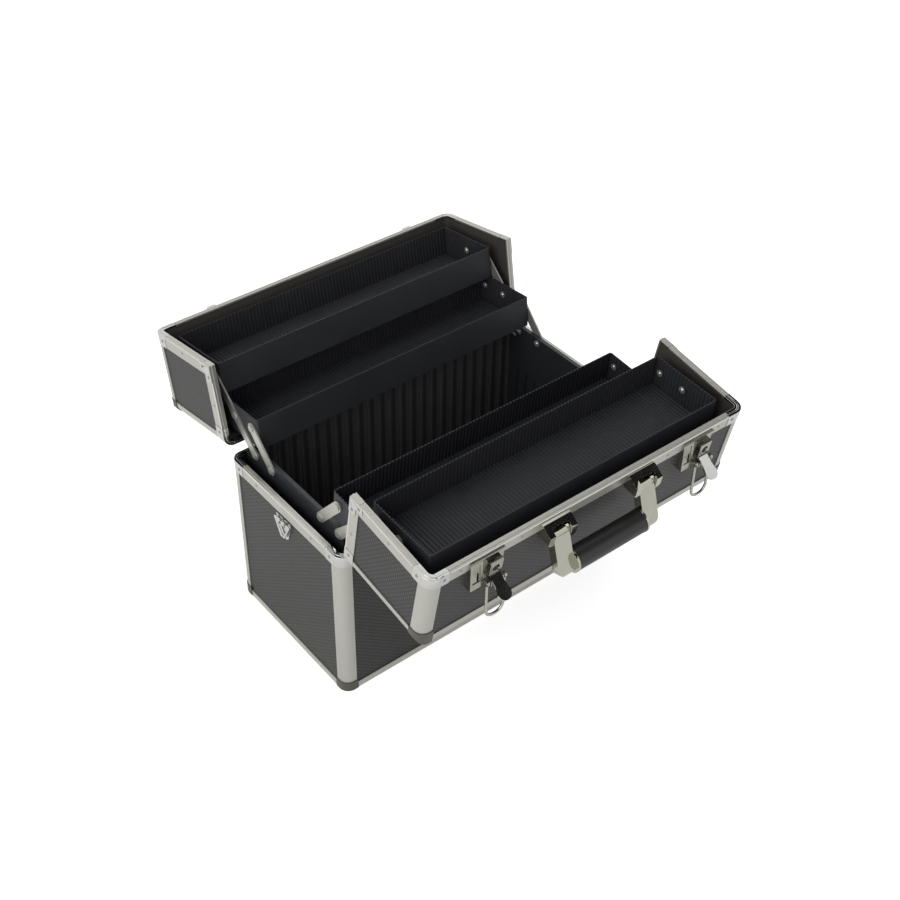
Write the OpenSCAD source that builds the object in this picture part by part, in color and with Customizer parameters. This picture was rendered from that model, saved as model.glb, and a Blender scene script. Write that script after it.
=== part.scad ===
// Tool case with an aluminium frame, two side-hinged lids and four cantilever trays.
// Millimetres. Origin in the middle of the floor board's underside. +X along the length,
// +Y to the rear, +Z up. The feet stand a little lower.
// Drawn open. The lids and everything on them are built closed, then turned open.

/* [Case] */
// Length over the frame
case_l = 450; // [400:5:500]
// Depth over the frame
case_d = 222; // [216:1:234]
// Height of the base, floor board's underside to rim
base_h = 218; // [170:4:262]
// Height of the closed lids above the seam
lid_h = 133; // [128:1:150]
// Gap between closed edges
seam_gap = 1.5; // [1.3:0.1:2]
// Opening angle of the lids in the drawn pose, degrees
lid_open = 100; // [98:1:100]

/* [Frame] */
// Thickness of the aluminium lips and flanges
lip_t = 1; // [0.8:0.1:1.2]
// Thickness of the panel boards
board_t = 4; // [3.6:0.1:4.2]
// Thickness of the lid lining
lining_t = 1; // [0.6:0.1:1.1]
// Outer radius of the rounded corner extrusions
corner_r = 12.5; // [11:0.5:14]
// Flat lip of a corner extrusion beyond its rounding
extrusion_lip = 3.9; // [3:0.1:5]
// Height of the outer flange of the closing profile
flange_h = 15.5; // [13:0.5:17]
// Reach of a rim corner piece along each side
corner_leg = 26; // [23:1:30]

/* [Trays and links] */
// Height of a tray
tray_h = 41; // [38:0.5:41.5]
// Wall thickness of the trays
tray_wall = 2; // [1.6:0.1:2.4]
// Centre distance of the link pivots
link_len = 52.5; // [52:0.5:53.5]
// Distance between the two pivots of one tray end
pivot_gap = 36.5; // [36:0.1:37]
// Width of the steel links
link_w = 13; // [11:0.5:14]
// Thickness of the steel links
link_t = 2; // [1.5:0.1:2.5]
// Radial clearance of pins in their holes
pin_clear = 0.05; // [0.03:0.01:0.08]

/* [Fittings] */
// Distance of the latches from the case's ends
latch_in = 74; // [70:1:95]
// Diameter of the handle grip
grip_d = 27; // [24:1:29]
// Length of the handle grip
grip_l = 98; // [90:2:104]

/* [Hidden] */
$fn = 48;

// Frame
hx = case_l / 2;
hy = case_d / 2;
foot_t = 1.2;
foot_z = -lip_t - foot_t;
cut = 1;
joint_gap = 0.1;
board_in = lip_t + board_t;
lined_in = board_in + lining_t;
ext_w = corner_r + extrusion_lip;
core_r = corner_r - board_in;
trim_lip = 9;
cap_t = 1;
cap_leg = ext_w + 1.6;
cap_h = 15;
cap_edge_r = 2.2;

// Closing profile: outer flange, web with a bead, inner flange
web_t = 1.4;
inner_t = 1.2;
inner_gap = 0.3;
rim_w = lined_in + inner_gap + inner_t;
inner_flange_h = 2.6;
bead_d = 2.6;
bead_w = 1.8;
bead_h = 0.5;
corner_proud = 0.5;
rivet_d = 4;
rivet_h = 0.7;

// Lids
lid_z = base_h + seam_gap;
lid_top = lid_z + lid_h;
seam_y = seam_gap / 2;
lid_d = hy - seam_y;

// Hinges
hinge_out = 6;
hinge_y = hy + hinge_out;
hinge_z = base_h + seam_gap / 2;
barrel_r = 3.5;
hinge_pin_r = 1.5;
leaf_l = 60;
leaf_h = 17;
leaf_t = 1.5;
knuckle_gap = 0.4;
hinge_x = case_l * 0.31;

// Liner and carrier plates
liner_t = 3;
liner_floor_t = 2;
groove_pitch = 16.6;
groove_w = 3;
groove_deep = 1.5;
carrier_x = hx - 20;
carrier_t = 5;
carrier_top_r = 7;
carrier_smooth = 45;

// Trays: u runs outwards from the inner edge, drop runs down from the top edge
tray_in = 3;
tray_step = 3.6;
tray_d = hy - 15;
tray_l = 2 * carrier_x;
tray_floor = 2;
tray_round = 3;
lower_drop = 14.9;
upper_drop = 18.3;
pivot_y = hy - 26.7;
pivot_z = base_h + 9.7;
closed_angle = 129.8;
lower_u = pivot_y + link_len * cos(closed_angle) - tray_in;
upper_u = pivot_y + 2 * link_len * cos(closed_angle) - tray_in - tray_step;
// One side's drawn pose: link angle, tilt of the lower tray, tilt of the upper tray
rear_pose = [42.5, 5.5, 8.5];
front_pose = [45.6, 5.3, 3.4];
shut_pose = [closed_angle, 0, 0];

// Links and their pins
side_gap = 0.3;
pin_r = 2.5;
slack = 1;
head_r = 4.3;
head_t = 1.6;
inner_head_t = 1;
inner_head_gap = 0.3;
link_x = carrier_x + side_gap;

// Lid fittings: v runs from the seam edge towards the hinge side, n out of the face
latch_x = hx - latch_in;
latch_hub_x = 8;
latch_pin_v = 38.5;
latch_pin_n = 11;
latch_pin_r = 1.5;
latch_plate_w = 45;
latch_v0 = 4.5;
latch_v1 = 43;
latch_t = 1.5;
hub_h = 8.5;
hub_w = 17;
hub_v0 = 12.5;
hub_v1 = 32;
keyhole_d = 9;
ear_t = 1.5;
lever_w = 13;
lever_tip_w = 16.4;
lever_t = 2.4;
lever_l = 24.4;
lever_back = 4.6;
lever_neck = 6.4;
lever_rise = 4.1;
lever_angle = 59;
lever_boss_r = 3.6;
bail_wire_r = 1.6;
bail_x = 11.6;
bail_l = 50;
bail_bend = 10.5;
bend_swell = 1.06;
bend_in = 0.4;
hang_angle = lid_open - 90;

handle_x = grip_l / 2 + 12.5;
arm_w = 22;
arm_gap = 0.4;
arm_t = 11;
arm_l = 42.5;
arm_angle = 26.6;
arm_pin_v = 17;
arm_pin_n = 9;
arm_pin_r = 2;
arm_boss_r = 6.5;
arm_end = grip_d / 2 - 1;
arm_end_r = 6;
elbow_round = 12;
ferrule_r = grip_d / 2 + 0.5;
bracket_w = 38;
bracket_v0 = 3;
bracket_v1 = 24.5;
bracket_h = 18;
bracket_low = 4.2;
bracket_slope = 7;
bracket_floor = 1.8;
bracket_back = 6;
bracket_r = 4;

// Strap fittings
strap_rise = -23;
strap_w = 29;
strap_h = 31;
strap_t = 1.2;
strap_top = 4.5;
strap_tongue_r = 9;
ring_wire_r = 1.4;
ring_half = 14;
ring_drop = 21.5;
strap_eye_r = 2.8;
strap_eye_w = 5;
strap_out = 3.5;

// Link geometry as [y, z] of the rear side
function along(t) = [cos(t), -sin(t)];
function upward(t) = [sin(t), cos(t)];
function arm_point(pose, n) = [pivot_y + n * link_len * cos(pose[0]),
    pivot_z + n * link_len * sin(pose[0])];
// Base pivot of the short link: equally far from the tray pin's open and shut places
function level_centre(p, q, level) = (p[0] + q[0]) / 2
    - (level - (p[1] + q[1]) / 2) * (p[1] - q[1]) / (p[0] - q[0]);
function short_top(pose) = arm_point(pose, 1) - pivot_gap * along(pose[1]);
function short_base(pose) = [level_centre(short_top(pose), short_top(shut_pose), pivot_z), pivot_z];
// Upper link seen from the lower tray: distance along the tray and up from the middle pivot
function upper_pin(pose) = arm_point(pose, 2) + pivot_gap * along(pose[2]) - arm_point(pose, 1);
function in_tray(pose) = [upper_pin(pose) * along(pose[1]), upper_pin(pose) * upward(pose[1])];
function upper_base_u(pose) = level_centre(in_tray(pose), in_tray(shut_pose), 0);
function upper_base(pose) = arm_point(pose, 1) + upper_base_u(pose) * along(pose[1]);
function upper_top(pose) = arm_point(pose, 2) + pivot_gap * along(pose[2]);
function link_angle(p, q) = atan2(q[1] - p[1], q[0] - p[0]);
function lower_origin(pose) = arm_point(pose, 1) - lower_u * along(pose[1])
    + lower_drop * upward(pose[1]);
function upper_origin(pose) = arm_point(pose, 2) - upper_u * along(pose[2])
    + upper_drop * upward(pose[2]);

end_panels();
long_panels();
bottom_panel();
corner_extrusions();
bottom_trims();
corner_caps();
rim_profile();
rim_corners();
rim_rivets();
liner();
carrier_plates();
strap_plates();
left_strap_ring();
right_strap_ring();
base_hinge_leaves();
hinge_pins();
rear_open() lid_long_panel();  // rear_lid_long_panel
rear_open() lid_top_panel();  // rear_lid_top_panel
rear_open() lid_end_panels();  // rear_lid_end_panels
rear_open() lid_lining();  // rear_lid_lining
rear_open() lid_extrusions();  // rear_lid_extrusions
rear_open() lid_trim();  // rear_lid_trim
rear_open() lid_caps();  // rear_lid_caps
rear_open() lid_rim();  // rear_lid_rim
rear_open() lid_corners();  // rear_lid_corners
rear_open() lid_rivets();  // rear_lid_rivets
rear_open() lid_hinge_leaves();  // rear_lid_hinge_leaves
catch_plates();
front_open() lid_long_panel();  // front_lid_long_panel
front_open() lid_top_panel();  // front_lid_top_panel
front_open() lid_end_panels();  // front_lid_end_panels
front_open() lid_lining();  // front_lid_lining
front_open() lid_extrusions();  // front_lid_extrusions
front_open() lid_trim();  // front_lid_trim
front_open() lid_caps();  // front_lid_caps
front_open() lid_rim();  // front_lid_rim
front_open() lid_corners();  // front_lid_corners
front_open() lid_rivets();  // front_lid_rivets
front_open() lid_hinge_leaves();  // front_lid_hinge_leaves
latch_plates();
latch_lever(-latch_x);  // left_latch_lever
latch_lever(latch_x);  // right_latch_lever
latch_bail(-latch_x);  // left_latch_bail
latch_bail(latch_x);  // right_latch_bail
handle_brackets();
handle_arms();
handle_grip();
lower_tray(rear_pose);  // rear_lower_tray
upper_tray(rear_pose);  // rear_upper_tray
to_front() lower_tray(front_pose);  // front_lower_tray
to_front() upper_tray(front_pose);  // front_upper_tray
long_links(rear_pose);  // rear_long_links
short_links(rear_pose);  // rear_short_links
upper_links(rear_pose);  // rear_upper_links
to_front() long_links(front_pose);  // front_long_links
to_front() short_links(front_pose);  // front_short_links
to_front() upper_links(front_pose);  // front_upper_links

// Both ends of the case
module both_ends() {
    children();
    mirror([1, 0, 0]) children();
}

// Both long sides of the base
module both_sides() {
    children();
    mirror([0, 1, 0]) children();
}

// The rear half's piece moved to the front half
module to_front() {
    mirror([0, 1, 0]) children();
}

// A closed rear lid turned open about its hinge
module rear_open() {
    translate([0, hinge_y, hinge_z]) rotate([-lid_open, 0, 0])
        translate([0, -hinge_y, -hinge_z]) children();
}

// The same for the front lid
module front_open() {
    to_front() rear_open() children();
}

// A fitting on the front lid's top face: x, v from the seam edge, n outwards
module on_front_face() {
    front_open() translate([0, seam_y, lid_top]) children();
}

// Closing profile, x inwards from the outer face and y from the edge into the board
module rim_section(proud = 0) {
    translate([-proud, 0]) square([lip_t + proud, flange_h]);
    translate([-proud, 0]) square([rim_w + proud, web_t]);
    translate([rim_w - inner_t, 0]) square([inner_t, inner_flange_h]);
    translate([bead_d, -bead_h]) square([bead_w, bead_h + web_t]);
}

// A run of it along X, going inwards along +Y and into the board along +Z
module run_x(length, proud = 0) {
    rotate([90, 0, 90]) linear_extrude(length, center = true) rim_section(proud);
}

// A run of it along Y, going inwards along +X and into the board along +Z
module run_y(length, proud = 0) {
    rotate([90, 0, 0]) linear_extrude(length, center = true) rim_section(proud);
}

// Rounded corner piece with straight tabs, its corner at the origin, inwards along +X and +Y
module rim_corner() {
    tab = corner_leg - corner_r;
    translate([corner_r, corner_r, 0]) rotate([0, 0, 180]) rotate_extrude(angle = 90, $fn = 96)
        translate([corner_r, 0]) mirror([1, 0]) rim_section(corner_proud);
    translate([corner_r + tab / 2, 0, 0]) run_x(tab, corner_proud);
    translate([0, corner_r + tab / 2, 0]) run_y(tab, corner_proud);
    translate([corner_leg - tab / 2, -corner_proud, flange_h / 2]) rotate([90, 0, 0]) rivet();
    translate([-corner_proud, corner_leg - tab / 2, flange_h / 2]) rotate([0, -90, 0]) rivet();
}

// Domed rivet head standing on the XY plane
module rivet() {
    ball_r = (rivet_d * rivet_d / 4 + rivet_h * rivet_h) / (2 * rivet_h);
    intersection() {
        translate([0, 0, rivet_h - ball_r]) sphere(ball_r);
        cylinder(d = rivet_d, h = rivet_h + cut);
    }
}

// Hollow rounded corner extrusion, its corner at the origin, inwards along +X and +Y
module extrusion_section() {
    wall = 1.2;
    difference() {
        translate([corner_r, corner_r]) difference() {
            intersection() {
                circle(corner_r, $fn = 96);
                translate([-corner_r, -corner_r]) square(corner_r);
            }
            circle(core_r, $fn = 96);
        }
        translate([corner_r, corner_r]) difference() {
            intersection() {
                circle(corner_r - wall, $fn = 96);
                translate([-corner_r, -corner_r]) square(corner_r - wall);
            }
            circle(core_r + wall, $fn = 96);
        }
    }
    translate([corner_r - joint_gap, 0]) square([extrusion_lip + joint_gap, lip_t]);
    translate([0, corner_r - joint_gap]) square([lip_t, extrusion_lip + joint_gap]);
}

// Base

module end_panels() {
    color([0.1, 0.1, 0.1]) both_ends()
        translate([hx - board_in, corner_r - hy, 0])
            cube([board_t, case_d - 2 * corner_r, base_h - web_t]);
}

module long_panels() {
    color([0.1, 0.1, 0.1]) both_sides()
        translate([corner_r - hx, hy - board_in, 0])
            cube([case_l - 2 * corner_r, board_t, base_h - web_t]);
}

// Rectangle with four rounded corners, centred
module rounded_plan(w, d, r) {
    square([w - 2 * r, d], center = true);
    square([w, d - 2 * r], center = true);
    for (sx = [-1, 1], sy = [-1, 1])
        translate([sx * (w / 2 - r), sy * (d / 2 - r)]) circle(r, $fn = 96);
}

// Floor board between the wall boards, let into the bottom trims
module bottom_panel() {
    color([0.12, 0.12, 0.12]) linear_extrude(board_t)
        rounded_plan(case_l - 2 * board_in, case_d - 2 * board_in, core_r);
}

module corner_extrusions() {
    top = base_h - flange_h;
    color([0.78, 0.79, 0.8]) both_ends() both_sides()
        translate([-hx, -hy, -lip_t]) linear_extrude(top + lip_t) extrusion_section();
}

// L-shaped trim section, its corner at the origin, its lower lip that far in
module trim_section(lip_in) {
    square([lip_in, lip_t]);
    square([lip_t, trim_lip]);
}

// Trims round the bottom edges. Their lower lips end at the floor board.
module bottom_trims() {
    long_l = case_l - 2 * ext_w;
    end_l = case_d - 2 * ext_w;
    color([0.78, 0.79, 0.8]) {
        both_sides() translate([0, -hy, -lip_t])
            rotate([90, 0, 90]) linear_extrude(long_l, center = true) trim_section(board_in);
        both_ends() translate([-hx, 0, -lip_t])
            rotate([90, 0, 0]) linear_extrude(end_l, center = true) trim_section(board_in);
    }
}

// Foot cap section: x inwards from the frame's face as far as the floor board, y up from the floor
module cap_section() {
    difference() {
        union() {
            translate([-cap_t, cap_edge_r]) square([board_in + cap_t, cap_h - cap_edge_r]);
            translate([cap_edge_r - cap_t, 0]) square([board_in + cap_t - cap_edge_r, cap_h]);
            translate([cap_edge_r - cap_t, cap_edge_r]) circle(cap_edge_r);
        }
        translate([0, foot_t]) square([board_in + cut, cap_h]);
    }
}

// Rounded cap over a bottom corner, the foot of the case
module foot_cap() {
    leg = cap_leg - corner_r;
    translate([corner_r, corner_r, 0]) rotate([0, 0, 180]) rotate_extrude(angle = 90, $fn = 96)
        translate([corner_r, 0]) mirror([1, 0]) cap_section();
    translate([corner_r + leg / 2, 0, 0]) rotate([90, 0, 90])
        linear_extrude(leg, center = true) cap_section();
    translate([0, corner_r + leg / 2, 0]) rotate([90, 0, 0])
        linear_extrude(leg, center = true) cap_section();
}

module corner_caps() {
    color([0.2, 0.2, 0.2]) both_ends() both_sides() translate([-hx, -hy, foot_z]) foot_cap();
}

// Four straight lengths of closing profile round the mouth
module rim_profile() {
    long_l = case_l - 2 * corner_leg - 2 * joint_gap;
    end_l = case_d - 2 * corner_leg - 2 * joint_gap;
    color([0.78, 0.79, 0.8]) translate([0, 0, base_h]) mirror([0, 0, 1]) {
        both_sides() translate([0, -hy, 0]) run_x(long_l);
        both_ends() translate([-hx, 0, 0]) run_y(end_l);
    }
}

module rim_corners() {
    color([0.85, 0.86, 0.87]) both_ends() both_sides()
        translate([-hx, -hy, base_h]) mirror([0, 0, 1]) rim_corner();
}

// Spot rivets on the outer flange, clear of the hinges
module rim_rivets() {
    z = base_h - flange_h / 2;
    between = hinge_x / 2;
    beyond = (hinge_x + leaf_l / 2 + hx - corner_leg) / 2;
    color([0.8, 0.8, 0.8]) {
        both_ends() both_sides() {
            for (x = [between, beyond]) translate([x, hy, z]) rotate([-90, 0, 0]) rivet();
            translate([hx, hy / 2, z]) rotate([0, 90, 0]) rivet();
        }
    }
}

// Moulded liner: two grooved long walls and a floor
module liner() {
    wall_l = 2 * carrier_x;
    wall_top = base_h - inner_flange_h - joint_gap;
    wall_z = board_t + liner_floor_t + joint_gap;
    count = floor((wall_l / 2 - groove_pitch) / groove_pitch);
    color([0.06, 0.06, 0.06]) {
        both_sides() difference() {
            translate([-wall_l / 2, hy - board_in - liner_t, wall_z])
                cube([wall_l, liner_t, wall_top - wall_z]);
            for (k = [-count : count])
                translate([k * groove_pitch - groove_w / 2, hy - board_in - liner_t - cut, wall_z - cut])
                    cube([groove_w, groove_deep + cut, wall_top - wall_z + 2 * cut]);
        }
        translate([0, 0, board_t + liner_floor_t / 2])
            cube([wall_l - 2 * carrier_t - 2 * joint_gap, case_d - 2 * board_in, liner_floor_t],
                center = true);
    }
}

// Upright plates inside both ends that carry the link pivots
module carrier_plates() {
    half = hy - board_in - liner_t;
    shoulder = base_h - inner_flange_h - joint_gap;
    reach = pivot_y + link_w / 2;
    top = pivot_z + carrier_top_r;
    count = floor((half - groove_pitch / 2) / groove_pitch);
    color([0.06, 0.06, 0.06]) both_ends() difference() {
        union() {
            translate([carrier_x - carrier_t, -half, board_t])
                cube([carrier_t, 2 * half, shoulder - board_t]);
            translate([carrier_x - carrier_t, -reach, board_t])
                cube([carrier_t, 2 * reach, top - board_t]);
        }
        for (k = [-count : count])
            translate([carrier_x - carrier_t - cut, k * groove_pitch - groove_w / 2, board_t - cut])
                cube([groove_deep + cut, groove_w, shoulder - carrier_smooth - board_t]);
        carrier_bores(rear_pose);
        to_front() carrier_bores(front_pose);
    }
}

// Running holes for one side's two base pivots
module carrier_bores(pose) {
    for (p = [arm_point(pose, 0), short_base(pose)])
        translate([carrier_x - carrier_t - cut, p[0], p[1]]) rotate([0, 90, 0])
            cylinder(r = pin_r + pin_clear, h = carrier_t + 2 * cut);
}

// Plate and eye for the carrying strap on each end panel
module strap_plates() {
    z = base_h + strap_rise;
    eye_y = ring_half / 2 - strap_eye_w / 2;
    rivet_y = strap_w / 2 - rivet_d / 2 - 1;
    tongue = strap_top + strap_tongue_r - strap_h;
    color([0.8, 0.81, 0.82]) both_ends() difference() {
        union() {
            translate([hx - lip_t, 0, z]) rotate([90, 0, 90]) linear_extrude(strap_t) {
                polygon([[-strap_w / 2, strap_top], [strap_w / 2, strap_top],
                    [strap_w / 2, -strap_eye_r], [strap_tongue_r, tongue],
                    [-strap_tongue_r, tongue], [-strap_w / 2, -strap_eye_r]]);
                translate([0, tongue]) circle(strap_tongue_r);
            }
            for (sy = [-1, 1]) {
                translate([hx - lip_t + strap_out, sy * eye_y, z]) rotate([90, 0, 0])
                    cylinder(r = strap_eye_r, h = strap_eye_w, center = true);
                translate([hx - lip_t, sy * eye_y - strap_eye_w / 2, z - strap_eye_r])
                    cube([strap_out, strap_eye_w, 2 * strap_eye_r]);
            }
            for (sy = [-1, 1])
                translate([hx - lip_t + strap_t, sy * rivet_y, z + strap_top - rivet_d / 2 - 0.5])
                    rotate([0, 90, 0]) rivet();
        }
        translate([hx - lip_t + strap_out, 0, z]) rotate([90, 0, 0])
            cylinder(r = ring_wire_r + pin_clear, h = strap_w + 2 * cut, center = true);
    }
}

// Round wire between two points of a plane normal to X, with a swollen bend at its far end
module wire_yz(x, a, b, r) {
    length = norm(b - a);
    translate([x, a[0], a[1]]) rotate([-atan2(b[0] - a[0], b[1] - a[1]), 0, 0])
        cylinder(r = r, h = length);
    translate([x, b[0], b[1]]) sphere(r * bend_swell);
}

// Triangular ring hanging in the strap plate's eye
module strap_ring() {
    x = hx - lip_t + strap_out;
    z = base_h + strap_rise;
    a = [-ring_half, z];
    b = [ring_half, z];
    low = z - ring_drop;
    tip = 3;
    wire_yz(x, a, b, ring_wire_r);
    wire_yz(x, b, [tip, low], ring_wire_r);
    wire_yz(x, [tip, low], [-tip, low], ring_wire_r);
    wire_yz(x, [-tip, low], a, ring_wire_r);
}

module left_strap_ring() {
    color([0.8, 0.81, 0.82]) mirror([1, 0, 0]) strap_ring();
}

module right_strap_ring() {
    color([0.8, 0.81, 0.82]) strap_ring();
}

// Where the three hinges of one side stand
module hinge_places() {
    for (x = [-hinge_x, 0, hinge_x]) translate([x, hinge_y, hinge_z]) children();
}

// Leaf plate with a web that carries knuckles, below the axis
module hinge_leaf(knuckles, bore_r) {
    web = 1.75;
    face = -hinge_out;
    difference() {
        union() {
            translate([-leaf_l / 2, face, -leaf_h - knuckle_gap - barrel_r / 2])
                cube([leaf_l, leaf_t, leaf_h]);
            for (k = knuckles) {
                translate([k[0], face, -barrel_r])
                    cube([k[1] - k[0], hinge_out, web]);
                translate([k[0], 0, 0]) rotate([0, 90, 0]) cylinder(r = barrel_r, h = k[1] - k[0]);
            }
        }
        translate([-leaf_l / 2 - cut, 0, 0]) rotate([0, 90, 0])
            cylinder(r = bore_r, h = leaf_l + 2 * cut);
    }
}

// Base leaves carry the two outer knuckles of each hinge
module base_hinge_leaves() {
    third = leaf_l / 6;
    color([0.75, 0.76, 0.77]) both_sides() hinge_places()
        hinge_leaf([[-leaf_l / 2, -third - knuckle_gap], [third + knuckle_gap, leaf_l / 2]],
            hinge_pin_r + pin_clear / 2);
}

// Lid leaves carry the middle knuckle, built closed above the axis
module lid_hinge_leaves() {
    third = leaf_l / 6;
    color([0.75, 0.76, 0.77]) hinge_places() mirror([0, 0, 1])
        hinge_leaf([[-third, third]], hinge_pin_r + pin_clear);
}

module hinge_pins() {
    color([0.7, 0.7, 0.7]) both_sides() hinge_places()
        rotate([0, 90, 0]) cylinder(r = hinge_pin_r, h = leaf_l, center = true);
}

// Lids, built closed on the rear side

module lid_long_panel() {
    color([0.1, 0.1, 0.1]) translate([corner_r - hx, hy - board_in, lid_z + web_t])
        cube([case_l - 2 * corner_r, board_t, lid_h - web_t - lip_t]);
}

module lid_top_panel() {
    color([0.1, 0.1, 0.1]) translate([corner_r - hx, seam_y + web_t, lid_top - board_in])
        cube([case_l - 2 * corner_r, lid_d - web_t - board_in, board_t]);
}

module lid_end_panels() {
    color([0.1, 0.1, 0.1]) both_ends() translate([hx - board_in, seam_y + web_t, lid_z + web_t])
        cube([board_t, lid_d - web_t - corner_r, lid_h - web_t - corner_r]);
}

// Inside of the lid at a given depth behind the frame's faces, open below and at the seam
module lid_block(inset) {
    r = corner_r - inset;
    w = case_l - 2 * inset;
    low = lid_z + web_t;
    near = seam_y + web_t;
    intersection() {
        translate([0, 0, low]) linear_extrude(lid_top - inset - low) {
            translate([-w / 2, near]) square([w, hy - inset - r - near]);
            translate([r - w / 2, near]) square([w - 2 * r, hy - inset - near]);
            for (s = [-1, 1]) translate([s * (w / 2 - r), hy - inset - r]) circle(r, $fn = 96);
        }
        translate([0, near, 0]) rotate([90, 0, 0]) mirror([0, 0, 1])
            linear_extrude(hy - inset - near) {
                translate([-w / 2, low]) square([w, lid_top - inset - r - low]);
                translate([r - w / 2, low]) square([w - 2 * r, lid_top - inset - low]);
                for (s = [-1, 1]) translate([s * (w / 2 - r), lid_top - inset - r]) circle(r, $fn = 96);
            }
    }
}

// Lining sheet on the inside of the boards
module lid_lining() {
    color([0.22, 0.21, 0.2]) difference() {
        lid_block(board_in);
        translate([0, -cut, -cut]) lid_block(lined_in);
        lid_block(lined_in);
    }
}

// Upright corner extrusions and those between the end and top panels
module lid_extrusions() {
    color([0.78, 0.79, 0.8]) both_ends() {
        translate([-hx, hy, lid_z + flange_h]) mirror([0, 1, 0])
            linear_extrude(lid_h - flange_h - corner_r) extrusion_section();
        translate([-hx, hy - ext_w - joint_gap, lid_top]) rotate([90, 0, 0]) mirror([0, 1, 0])
            linear_extrude(lid_d - flange_h - ext_w - joint_gap) extrusion_section();
    }
}

module lid_trim() {
    color([0.78, 0.79, 0.8]) translate([0, hy, lid_top]) mirror([0, 0, 1]) mirror([0, 1, 0])
        rotate([90, 0, 90]) linear_extrude(case_l - 2 * ext_w, center = true)
            trim_section(trim_lip);
}

// Outer shape of a lid corner at the origin, grown by a given amount, inwards along +X +Y +Z
module corner_shape(grow, size) {
    r = corner_r + grow;
    intersection() {
        translate([corner_r, corner_r, -grow]) union() {
            cylinder(r = r, h = size + grow, $fn = 96);
            translate([0, -r, 0]) cube([size, 2 * r, size + grow]);
            translate([-r, 0, 0]) cube([2 * r, size, size + grow]);
        }
        translate([corner_r, -grow, corner_r]) rotate([-90, 0, 0]) union() {
            cylinder(r = r, h = size + grow, $fn = 96);
            translate([0, -r, 0]) cube([size, 2 * r, size + grow]);
            translate([-r, -size, 0]) cube([2 * r, size, size + grow]);
        }
        translate([-grow, -grow, -grow]) cube(size + grow);
    }
}

// Dark cap over the outer corner where three edges meet
module lid_caps() {
    color([0.2, 0.2, 0.2]) both_ends() translate([-hx, hy, lid_top])
        mirror([0, 1, 0]) mirror([0, 0, 1]) difference() {
            corner_shape(cap_t, cap_leg);
            corner_shape(0, 2 * cap_leg);
        }
}

// Closing profile round the lid's mouth: hinge side, seam side along the top, two ends
module lid_rim() {
    end_l = lid_d - corner_leg - joint_gap;
    rise = lid_h - flange_h - corner_leg - 2 * joint_gap;
    color([0.78, 0.79, 0.8]) {
        translate([0, hy, lid_z]) mirror([0, 1, 0])
            run_x(case_l - 2 * corner_leg - 2 * joint_gap);
        translate([0, seam_y, lid_top]) rotate([-90, 0, 0])
            run_x(case_l - 2 * corner_leg - 2 * joint_gap);
        both_ends() {
            translate([-hx, seam_y + end_l / 2, lid_z]) run_y(end_l);
            translate([-hx, seam_y, lid_z]) cube([rim_w, web_t, flange_h]);
            translate([-hx, seam_y, lid_z + flange_h + joint_gap + rise / 2])
                rotate([-90, 0, 0]) run_y(rise);
        }
    }
}

// Bright rounded corner pieces and the square brackets at the parting corner
module lid_corners() {
    arm = 22;
    wide = 11;
    color([0.85, 0.86, 0.87]) both_ends() {
        translate([-hx, hy, lid_z]) mirror([0, 1, 0]) rim_corner();
        translate([-hx, seam_y, lid_top]) rotate([-90, 0, 0]) rim_corner();
        translate([-hx - cap_t, seam_y, lid_z]) cube([cap_t, arm, wide]);
        translate([-hx - cap_t, seam_y, lid_z]) cube([cap_t, wide, arm]);
        translate([-hx - cap_t, seam_y + arm - wide / 2, lid_z + wide / 2])
            rotate([0, -90, 0]) rivet();
        translate([-hx - cap_t, seam_y + wide / 2, lid_z + arm - wide / 2])
            rotate([0, -90, 0]) rivet();
    }
}

// Spot rivets on the lid's closing profile
module lid_rivets() {
    low = lid_z + flange_h / 2;
    between = hinge_x / 2;
    beyond = (hinge_x + leaf_l / 2 + hx - corner_leg) / 2;
    color([0.8, 0.8, 0.8]) both_ends() {
        for (x = [between, beyond]) translate([x, hy, low]) rotate([-90, 0, 0]) rivet();
        translate([hx, seam_y + lid_d / 2, low]) rotate([0, 90, 0]) rivet();
        translate([hx, seam_y + flange_h / 2, lid_z + lid_h / 2]) rotate([0, 90, 0]) rivet();
        translate([beyond, seam_y + flange_h / 2, lid_top]) rivet();
        translate([(handle_x + bracket_w / 2 + latch_x - latch_plate_w / 2) / 2,
            seam_y + flange_h / 2, lid_top]) rivet();
    }
}

// Hooks on the rear lid that the bails pull on
module catch_plates() {
    plate_w = 24;
    plate_l = 13;
    hook_v = 0.8;
    hook_t = 1.6;
    hook_h = 6;
    color([0.8, 0.81, 0.82]) rear_open() for (x = [-latch_x, latch_x])
        translate([x + latch_hub_x, seam_y, lid_top]) {
            translate([-plate_w / 2, hook_v, 0]) cube([plate_w, plate_l, hook_t]);
            translate([-plate_w / 4, hook_v, 0]) cube([plate_w / 2, hook_t, hook_h]);
            translate([-plate_w / 4, hook_v, hook_h - hook_t])
                cube([plate_w / 2, 2.2 * hook_t, hook_t]);
        }
}

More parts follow.
